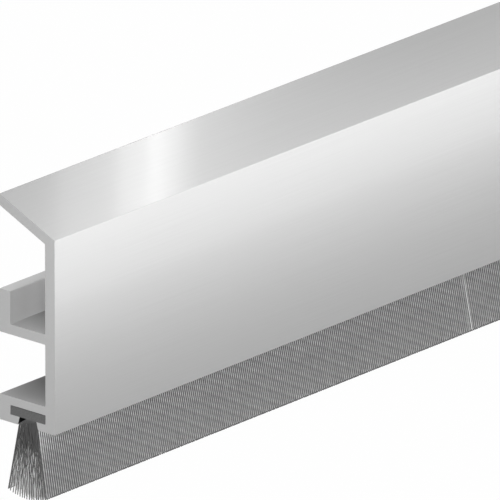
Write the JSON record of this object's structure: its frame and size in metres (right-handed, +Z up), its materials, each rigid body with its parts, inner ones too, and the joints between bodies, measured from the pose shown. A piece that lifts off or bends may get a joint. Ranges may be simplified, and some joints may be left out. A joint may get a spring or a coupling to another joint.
{
  "type": "brush seal strip",
  "caption": "Aluminium door-foot seal: upright web with a sloping top flange, a hook rail behind it and a channel that holds a flared bristle brush.",
  "frame": {"origin": "centre of the hook rail's rear face, at mid-length, in the plane that lies against the door", "axes": "+X along the strip, +Y towards the door, +Z up away from the bristles"},
  "size_m": [0.15, 0.011, 0.0467],
  "materials": {
    "holder": "satin natural anodised",
    "backing": "matt dark grey",
    "bristles": "matt dark grey filament"
  },
  "bodies": {
    "root": {"holder_profile": "holder", "long_brush_backing": "backing", "long_brush_bristles": "bristles", "short_brush_backing": "backing", "short_brush_bristles": "bristles"}
  },
  "joints": []
}
